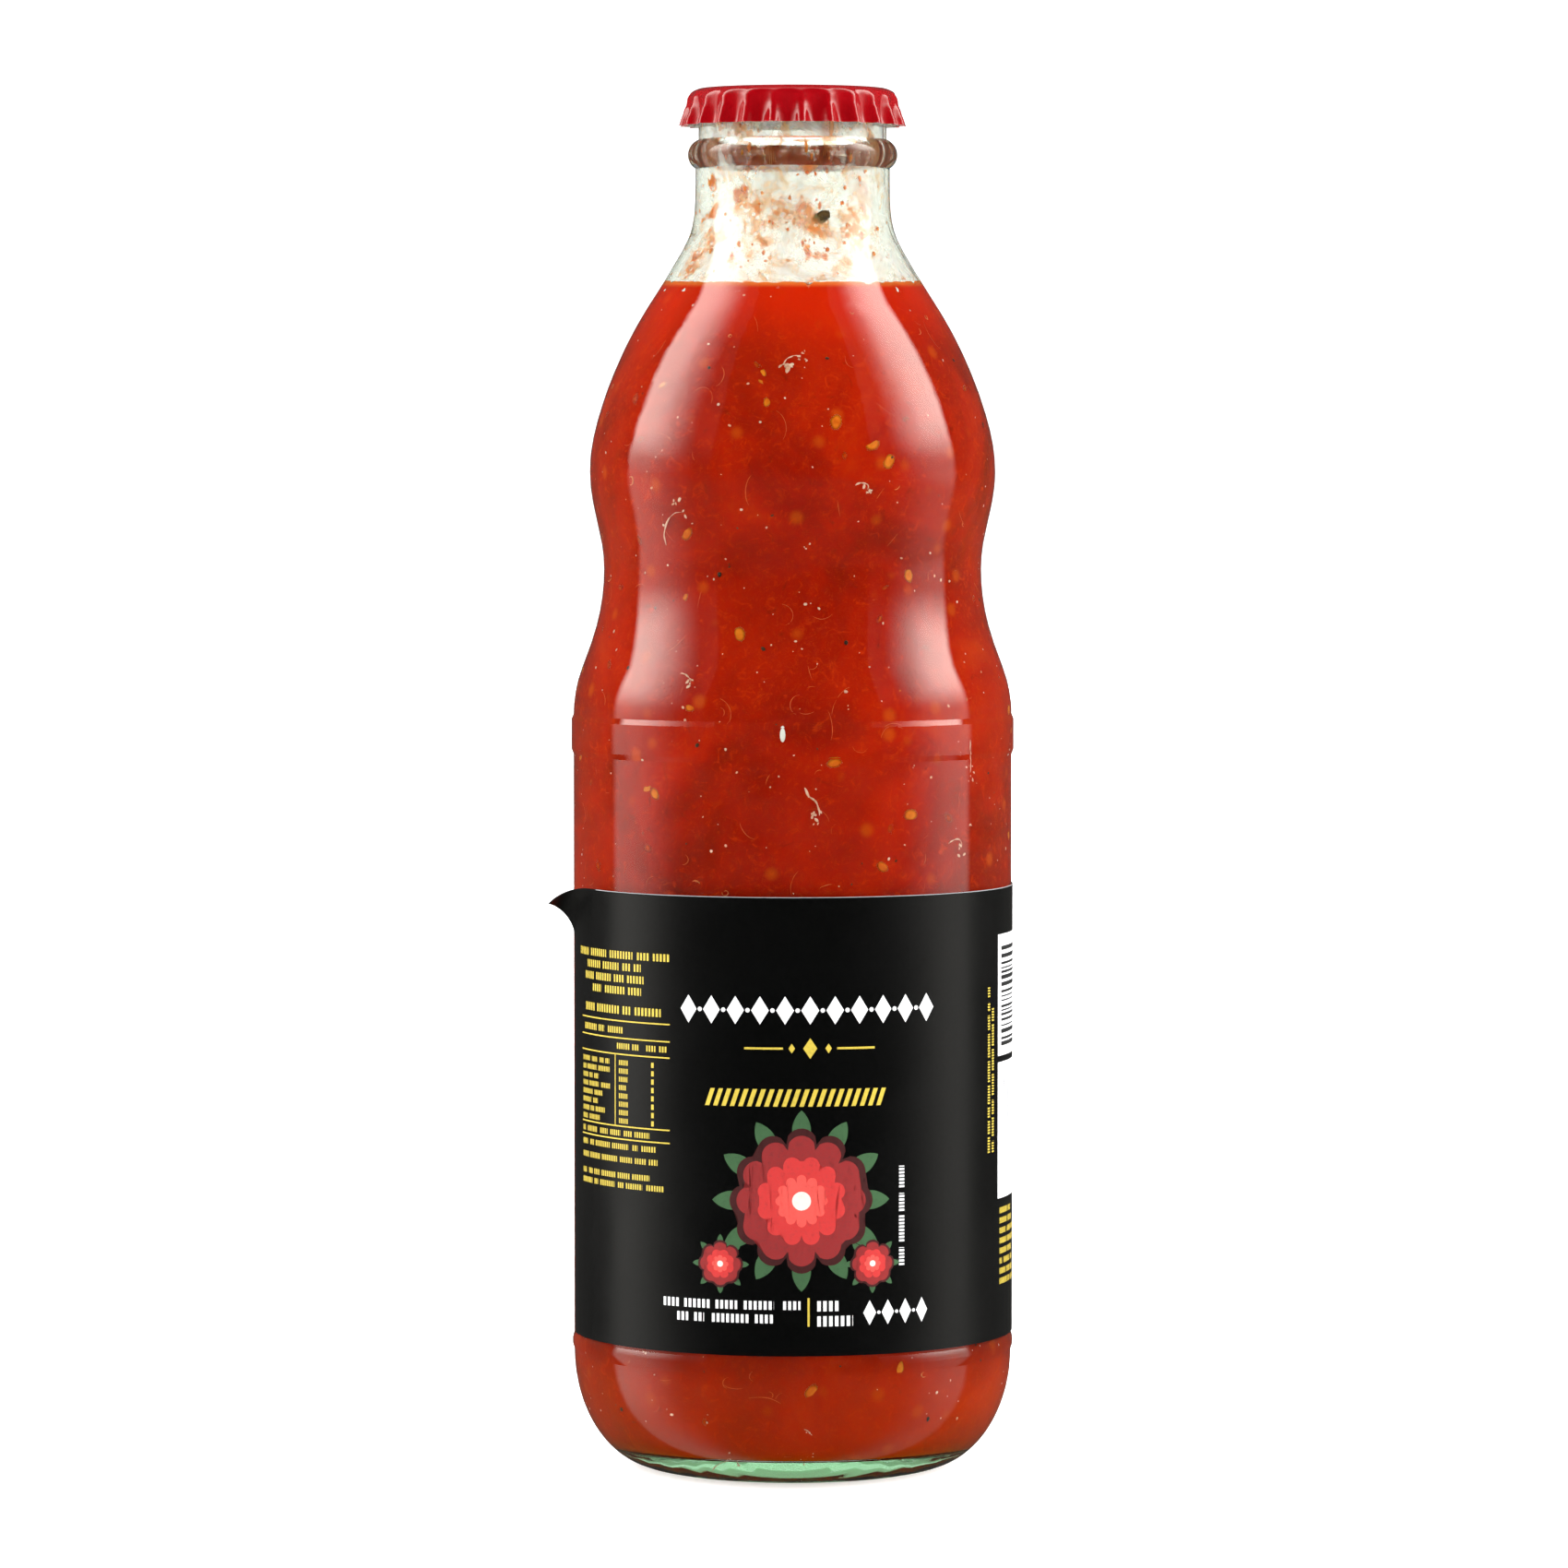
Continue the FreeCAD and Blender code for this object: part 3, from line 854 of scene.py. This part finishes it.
def chain(left, right, y, wide, tall):
    """Row of lozenges with a dot between each two."""
    count = round((right - left - wide) / (1.45 * wide))
    pitch = (right - left - wide) / count
    links = [lozenge(left + wide / 2 + i * pitch, y, wide, tall) for i in range(count + 1)]
    dots = [oval_shape(left + wide / 2 + (i + 0.5) * pitch, y, wide * 0.13, wide * 0.13, 0.0, 10) for i in range(count)]
    return links + dots


def rope(left, right, bottom, top, thick):
    """Row of slanting strokes."""
    shapes = []
    lean = (top - bottom) * 0.35
    x = left
    while x + thick + lean <= right:
        shapes.append([(x, bottom), (x + thick, bottom), (x + thick + lean, top), (x + lean, top)])
        x += 1.9 * thick
    return shapes


def ticks(left, right, bottom, top, rng, upright=False):
    """One row of small print as fine ticks in groups; upright turns the row to run up the label."""
    height = top - bottom
    shapes = []
    x = left
    while x < right - height:
        end = min(x + rng.uniform(1.2, 5.0) * height, right)
        while x < end:
            corners = (x, bottom, min(x + 0.34 * height, end), top)
            if upright:
                corners = (corners[1], corners[0], corners[3], corners[2])
            shapes.append(box_shape(*corners))
            x += 0.58 * height
        x += 0.50 * height
    return shapes


def tick_block(left, right, top, rows, pitch, height, rng, ragged=0.25, centred=False):
    shapes = []
    for i in range(rows):
        loss = (right - left) * ragged * rng.random()
        start = left + loss / 2 if centred else left
        base = top - pitch * i - height
        shapes += ticks(start, start + right - left - loss, base, base + height, rng)
    return shapes


def rosette(x, y, radius, petals, waist, turn=0.0):
    """Flower outline: round petals that meet in notches at a share of the radius."""
    shape = []
    for i in range(petals * 10):
        angle = 2 * math.pi * i / (petals * 10)
        reach = radius * (waist + (1 - waist) * math.sqrt(abs(math.sin(petals * angle / 2))))
        shape.append((x + reach * math.cos(angle + turn), y + reach * math.sin(angle + turn)))
    return shape


def front_print(white, gold):
    """Borders, ornament and foot of the main panel, all without words."""
    rng = random.Random(3)
    foot = ticks(-25.4, 1.4, 34.3, 35.9, rng) + ticks(-22.4, -1.4, 31.8, 33.4, rng)
    foot += ticks(4.5, 11.6, 34.0, 35.9, rng) + ticks(4.5, 11.2, 31.2, 33.1, rng)
    foot += chain(13.2, 26.6, 33.5, 2.5, 4.6)
    upright = ticks(42.0, 60.4, 20.4, 21.5, rng, upright=True)
    printed("print_white", chain(-21.6, 28.0, 89.5, 3.3, 5.2) + foot + upright, white)
    middle = [lozenge(3.2, 82.5, 2.6, 3.8), lozenge(-0.2, 82.5, 1.2, 1.8), lozenge(6.6, 82.5, 1.2, 1.8)]
    rules = [box_shape(-9.0, 82.3, -1.8, 82.7), box_shape(8.2, 82.3, 15.4, 82.7)]
    divider = [box_shape(2.7, 31.2, 3.1, 36.5)]
    printed("print_gold", middle + rules + rope(-16.6, 18.8, 71.8, 75.0, 0.85) + divider, gold)


def flower_print(inks):
    """A plain ornament: one large flower over a ring of leaves, and two small flowers below it."""
    flowers = [(1.6, 54.4, 13.4, 12), (-13.6, 42.6, 4.4, 8), (15.0, 42.6, 4.4, 8)]
    leaves = []
    for x, y, radius, petals in flowers:
        for i in range(petals):
            way = 2 * math.pi * i / petals
            foot = (x + 0.7 * radius * math.cos(way), y + 0.7 * radius * math.sin(way))
            leaves.append(leaf_shape(*foot, 0.55 * radius, 0.26 * radius, way))
    printed("motif_green", leaves, inks["green"])
    tones = (("deep", 1.0, 0.80, 0.5), ("red", 0.90, 0.80, 0.5), ("bright", 0.62, 0.76, 0.0), ("light", 0.36, 0.72, 0.5))
    for layer, (tone, share, waist, turned) in enumerate(tones):
        shapes = [rosette(x, y, share * radius, petals, waist, turned * 2 * math.pi / petals)
                  for x, y, radius, petals in flowers]
        printed("motif_" + tone, shapes, inks[tone], layer + 2)
    hearts = [oval_shape(x, y, 0.13 * radius, 0.13 * radius, 0.0, 20) for x, y, radius, _ in flowers]
    printed("motif_pale", hearts, inks["pale"], 6)


def left_print(gold):
    """Small print and a ruled table on the left of the label."""
    rng = random.Random(17)
    shapes = []
    for i, (left, right) in enumerate([(-52.6, -24.0), (-48.6, -28.2), (-49.6, -29.3), (-46.2, -30.8)]):
        base = 97.9 - 2.2 * i
        shapes += ticks(left, right, base, base + 1.4, rng)
    shapes += ticks(-49.5, -25.6, 87.6, 89.1, rng)
    for height in (86.2, 83.0, 80.0, 66.6, 64.2):
        shapes.append(box_shape(-51.5, height, -24.0, height + 0.25))
    shapes += ticks(-50.0, -34.5, 84.0, 85.2, rng)
    shapes += ticks(-37.5, -31.5, 81.1, 82.2, rng) + ticks(-29.5, -24.6, 81.1, 82.2, rng)
    shapes.append(box_shape(-38.2, 66.8, -37.95, 80.0))
    for i in range(8):
        base = 78.1 - 1.55 * i
        shapes += ticks(-51.0, rng.uniform(-44, -39.5), base, base + 0.95, rng)
        shapes += ticks(-36.9, -34.3, base, base + 0.95, rng)
        shapes.append(box_shape(-28.3, base, -27.7, base + 0.95))
    for base in (64.9, 62.4, 60.0, 57.0, 55.2):
        shapes += ticks(-51.0, rng.uniform(-30, -25), base, base + 1.05, rng)
    printed("side_print_left", shapes, gold)


def right_print(white, gold, black):
    """Pale panel with plain stripes, a blank panel and small print on the right and towards the back."""
    panels = [box_shape(48.9, 78.8, 66.0, 101.6), box_shape(48.9, 52.0, 66.0, 77.6)]
    printed("side_panels", panels, white)
    rng = random.Random(29)
    stripes = []
    height = 80.6
    while height < 99.4:
        thickness = rng.choice((0.3, 0.5, 0.8))
        stripes.append(box_shape(50.6, height, 63.6, height + thickness))
        height += thickness + rng.choice((0.35, 0.5, 0.7))
    stripes += [box_shape(52.0 + 3 * i, 55.0, 52.5 + 3 * i, 74.5 - 2 * (i % 2)) for i in range(4)]
    printed("side_stripes", stripes, black, 2)
    upright = ticks(61.0, 92.0, 44.3, 45.2, rng, upright=True) + ticks(61.0, 88.0, 46.0, 46.9, rng, upright=True)
    small = tick_block(50.0, 64.0, 50.2, 8, 1.9, 1.1, rng, 0.4)
    back = tick_block(74.0, 104.0, 96.0, 12, 3.0, 1.3, rng, 0.35)
    back += tick_block(112.0, 142.0, 92.0, 7, 3.0, 1.3, rng, 0.3, True)
    printed("side_print_right", upright + small + back, gold)


def paper_edge(material):
    """The label's cut upper edge, where its pale core shows."""
    top = LABEL_FRONT.z / MM
    printed("label_cut_edge", [box_shape(-45.0, top - 0.16, 175.0, top - 0.01)], material)


# ---------------------------------------------------------------- stage, lights and camera

def stage_floor():
    material, nodes, links, shader = new_material("white_table")
    coords = object_coords(nodes)
    tone = noise_node(nodes, links, coords, 3.0)
    links.new(ramp(nodes, links, tone, [(0.3, (0.86, 0.86, 0.86)), (0.7, (0.88, 0.88, 0.88))]), shader.inputs["Base Color"])
    shader.inputs["Roughness"].default_value = 0.8
    shader.inputs["Specular IOR Level"].default_value = 0.2
    shader.inputs["Emission Color"].default_value = (1.0, 1.0, 1.0, 1.0)
    shader.inputs["Emission Strength"].default_value = 0.45
    mesh = bpy.data.meshes.new("table")
    reach = 4.0
    mesh.from_pydata([(-reach, -reach, 0), (reach, -reach, 0), (reach, reach, 0), (-reach, reach, 0)], [], [(0, 1, 2, 3)])
    mesh.materials.append(material)
    table = bpy.data.objects.new("table", mesh)
    bpy.context.scene.collection.objects.link(table)
    table.visible_glossy = False


def studio_world():
    """Two tall soft boxes at the sides of a dark room; looked at, also through glass, all around is white."""
    world = bpy.data.worlds.new("studio")
    bpy.context.scene.world = world
    world.use_nodes = True
    nodes, links = world.node_tree.nodes, world.node_tree.links
    way = nodes.new("ShaderNodeSeparateXYZ")
    links.new(nodes.new("ShaderNodeTexCoord").outputs["Generated"], way.inputs["Vector"])

    def maths(operation, a, b=0.0):
        node = nodes.new("ShaderNodeMath")
        node.operation = operation
        for socket, value in ((node.inputs[0], a), (node.inputs[1], b)):
            if hasattr(value, "links"):
                links.new(value, socket)
            else:
                socket.default_value = value
        return node.outputs[0]

    back = maths("MULTIPLY", way.outputs["Y"], -1.0)
    turn = maths("MULTIPLY", maths("ARCTAN2", way.outputs["X"], back), 180 / math.pi)
    rise = maths("MULTIPLY", maths("ARCSINE", way.outputs["Z"]), 180 / math.pi)

    def soft_box(round_from_front, inner, outer, radiance):
        glow = maths("POWER", map_range(nodes, links, round_from_front, inner, outer - 12), 1.5)
        glow = maths("MAXIMUM", glow, map_range(nodes, links, round_from_front, inner - 4, inner - 2, 0.0, 0.025))
        end = map_range(nodes, links, round_from_front, outer - 3, outer + 3, 1.0, 0.0)
        return maths("MULTIPLY", maths("MULTIPLY", glow, end), radiance)

    right_tall = map_range(nodes, links, rise, 3.0, 24.0, 0.17, 1.0)
    left_tall = map_range(nodes, links, rise, 0.0, 20.0, 0.19, 1.0)
    right_foot = map_range(nodes, links, rise, -9.0, -4.0, 0.5, 1.0)
    right = maths("MULTIPLY", soft_box(turn, 50.0, 105.0, 8.4), right_tall)
    left = maths("MULTIPLY", soft_box(maths("MULTIPLY", turn, -1.0), 50.0, 107.0, 7.1), left_tall)
    low = map_range(nodes, links, rise, -40.0, -12.0, 0.5, 1.0)
    top = map_range(nodes, links, rise, 62.0, 84.0, 1.0, 0.2)
    path = nodes.new("ShaderNodeLightPath")
    spill = map_range(nodes, links, path.outputs["Is Glossy Ray"], 0.0, 1.0, 1.42, 1.0)
    height = maths("MULTIPLY", maths("MULTIPLY", low, top), spill)
    boxes = maths("MULTIPLY", maths("ADD", maths("MULTIPLY", right, right_foot), left), height)
    mirrored = map_range(nodes, links, path.outputs["Is Glossy Ray"], 0.0, 1.0, 2.4, 0.06)
    wall = maths("MULTIPLY", map_range(nodes, links, way.outputs["Y"], 0.0, 0.6, 0.01, 1.0), mirrored)
    ceiling = map_range(nodes, links, rise, 70.0, 80.0, 0.0, 1.2)
    room = maths("ADD", maths("ADD", boxes, wall), ceiling)

    straight = maths("LESS_THAN", path.outputs["Diffuse Depth"], 0.5)
    through = path.outputs["Is Transmission Ray"]
    seen = maths("MULTIPLY", maths("MAXIMUM", path.outputs["Is Camera Ray"], through), straight)
    lighting = maths("SUBTRACT", 1.0, maths("MAXIMUM", path.outputs["Is Camera Ray"], through))
    strength = maths("ADD", maths("MULTIPLY", seen, 1.35), maths("MULTIPLY", lighting, room))
    background = nodes["Background"]
    warm = mix_colour(nodes, links, path.outputs["Is Glossy Ray"], (1.0, 1.0, 1.0), (1.0, 0.975, 0.90))
    links.new(warm, background.inputs["Color"])
    links.new(strength, background.inputs["Strength"])


def fill_light(name, place, size, power):
    light = bpy.data.lights.new(name, "AREA")
    light.shape = "RECTANGLE"
    light.size, light.size_y = size
    light.energy = power
    lamp = bpy.data.objects.new(name, light)
    lamp.location = place
    aim = Vector((0, 0, 0.13)) - Vector(place)
    lamp.rotation_euler = aim.to_track_quat("-Z", "Y").to_euler()
    lamp.visible_glossy = False
    lamp.visible_camera = False
    lamp.visible_transmission = False
    bpy.context.scene.collection.objects.link(lamp)


def camera():
    data = bpy.data.cameras.new("camera")
    data.lens = LENS
    data.sensor_width = 36.0
    data.clip_start = 0.05
    view = bpy.data.objects.new("camera", data)
    view.location = EYE
    view.rotation_euler = (math.pi / 2 - LOOK_DOWN, 0.0, 0.0)
    bpy.context.scene.collection.objects.link(view)
    bpy.context.scene.camera = view


def dress(node, material):
    mesh_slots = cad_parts[node].material_slots
    if not mesh_slots:
        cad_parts[node].data.materials.append(material)
    for mesh_slot in mesh_slots:
        mesh_slot.material = material


camera()
studio_world()
stage_floor()
fill_light("front_fill", (0.4, -1.7, 1.1), (1.6, 1.6), 14.0)

dress("bottle", glass_material())
dress("cap", lacquer_material())
dress("label", paper_material())

sauce(pulp_material())
near = splash_material("seed_skin", (0.84, 0.240, 0.014), (0.66, 0.120, 0.004), 0.55)
sunk = splash_material("sunk_seed_skin", (0.60, 0.080, 0.003), (0.48, 0.040, 0.001), 1.30)
seeds("tomato_seeds", NEAR_SEEDS, 11, 0.05, near, [
    (13, 197), (-16, 158), (11, 135), (33, 125), (24, 193), (-34, 177), (39, 169), (5, 19), (29, 190),
])
seeds("sunk_seeds", SUNK_SEEDS, 12, 0.0, sunk)
fibres(solid_material("flesh_thread", (0.58, 0.050, 0.006), (0.70, 0.130, 0.024), 700.0, 0.45))
scraps(solid_material("skin_scrap", (0.58, 0.080, 0.014), (0.74, 0.240, 0.070), 600.0, 0.4))
pale = solid_material("pale_core", (0.66, 0.32, 0.20), (0.84, 0.58, 0.44), 800.0, 0.4)
curls("pale_curls", [
    (7, 125, 2.3, 0.55, 0.28, 1.4), (55, 132, 2.4, 0.50, 0.20, 1.2), (51, 118, 2.0, 0.60, 0.24, 1.0),
    (-34.5, 181, 3.4, 0.45, 0.20, 3.2), (3, 209, 1.5, 0.50, 0.15, 2.9), (-1, 207, 0.9, 0.40, 0.28, 2.2),
    (22, 185, 1.3, 0.60, 0.18, 0.6), (-29, 149, 1.2, 0.50, 0.18, 1.9), (-20, 6.6, 2.0, 0.5, 0.14, 3.1),
    (4, 7.0, 2.6, 0.5, 0.16, 0.2), (128, 180, 2.4, 0.6, 0.24, 0.5), (171, 132, 2.8, 0.5, 0.24, 2.0),
    (-120, 156, 2.2, 0.6, 0.22, 1.4), (-150, 198, 2.0, 0.5, 0.20, 2.8),
], pale)
scattered("tiny_bubbles", BUBBLES, 41, 0.09 * MM, 0.30 * MM, 0.27 * MM,
          solid_material("bubble_skin", (0.74, 0.30, 0.16), (0.92, 0.66, 0.52), 260.0, 0.3))
scattered("dark_specks", SPECKS, 43, 0.14 * MM, 0.42 * MM, 0.28 * MM,
          solid_material("dark_speck", (0.020, 0.008, 0.003), (0.080, 0.026, 0.008), 400.0, 0.6))
glass_bubble(solid_material("air_bubble", (0.82, 0.78, 0.72), (0.95, 0.93, 0.90), 600.0, 0.15))

NECK_LOW, NECK_HIGH = FILL_TOP + 0.3 * MM, BOTTLE_TOP - 4 * MM
juice_film(film_material())
bright = splash_material("juice_splash", (0.94, 0.34, 0.07), (0.86, 0.20, 0.025), 0.45, clear=0.6)
smear("neck_splashes", bright, NECK_LOW, NECK_HIGH, 0.62, 0.3 * MM, 330.0, 9.0, 0.8, [
    (-61.5, 236.5, 2.6, 1.1), (-63, 243, 2.0, 0.9), (62, 243, 1.6, 1.0), (22, 231.5, 2.0, 0.6), (24.5, 235, 1.2, 0.6),
    (-31, 239, 1.2, 0.6), (-12.5, 227, 1.2, 0.7), (-37, 250.5, 2.0, 0.6), (60, 231, 2.0, 0.6),
    (110, 238, 2.5, 1.0), (165, 229, 2.8, 0.9), (-135, 241, 2.4, 0.9),
])
stain = splash_material("juice_stain", (0.98, 0.54, 0.26), (0.93, 0.30, 0.08), 0.65, 0.9, 0.9, 0.6)
smear("neck_stains", stain, NECK_LOW, NECK_HIGH, 0.22, 0.12 * MM, 210.0, 4.0, 0.8, [
    (-13, 236, 4.0, 0.36), (-4, 234.5, 3.5, 0.36), (8, 236.5, 4.0, 0.36), (22, 233, 4.5, 0.55), (33, 229, 5.0, 0.30),
    (-29, 239.5, 3.5, 0.45), (60, 231, 4.0, 0.50), (-54, 228, 4.0, 0.50), (-37, 250.5, 4.0, 0.60), (45, 240, 4.0, 0.30),
    (120, 236, 6.0, 0.40), (180, 232, 6.0, 0.40), (-120, 240, 6.0, 0.40),
])
ring = splash_material("ring_residue", (0.34, 0.085, 0.020), (0.10, 0.018, 0.004), 0.40, 0.95, 0.3, 0.2)
smear("ring_residue", ring, BEAD_Z - 2.4 * MM, BEAD_Z + 0.5 * MM, -0.60, 0.12 * MM, 120.0, 5.0, 3.2)
drop = splash_material("juice_drop", (0.90, 0.32, 0.07), (0.76, 0.16, 0.02), 0.50, clear=0.5)
droplets("juice_drops", 230, 51, 0.12 * MM, 0.50 * MM, drop)
herb_scrap(solid_material("herb", (0.020, 0.009, 0.002), (0.140, 0.066, 0.010), 500.0, 0.6))

WHITE = ink_material("white_ink", (0.86, 0.86, 0.86))
GOLD = ink_material("gold_ink", (0.56, 0.42, 0.035), 0.4)
BLACK = ink_material("black_ink", (0.012, 0.012, 0.012))
front_print(WHITE, GOLD)
flower_print({
    "deep": ink_material("deep_red_ink", (0.060, 0.002, 0.002)),
    "red": ink_material("red_ink", (0.260, 0.005, 0.005)),
    "bright": ink_material("bright_red_ink", (0.520, 0.014, 0.012)),
    "light": ink_material("light_red_ink", (0.720, 0.060, 0.045)),
    "pale": ink_material("pale_ink", (0.90, 0.62, 0.56)),
    "green": ink_material("green_ink", (0.035, 0.110, 0.035)),
})
left_print(GOLD)
right_print(WHITE, GOLD, BLACK)
paper_edge(ink_material("paper_core", (0.24, 0.25, 0.26)))

scene = bpy.context.scene
scene.view_settings.view_transform = "Standard"
scene.cycles.max_bounces = 16
scene.cycles.transmission_bounces = 12
scene.cycles.transparent_max_bounces = 16
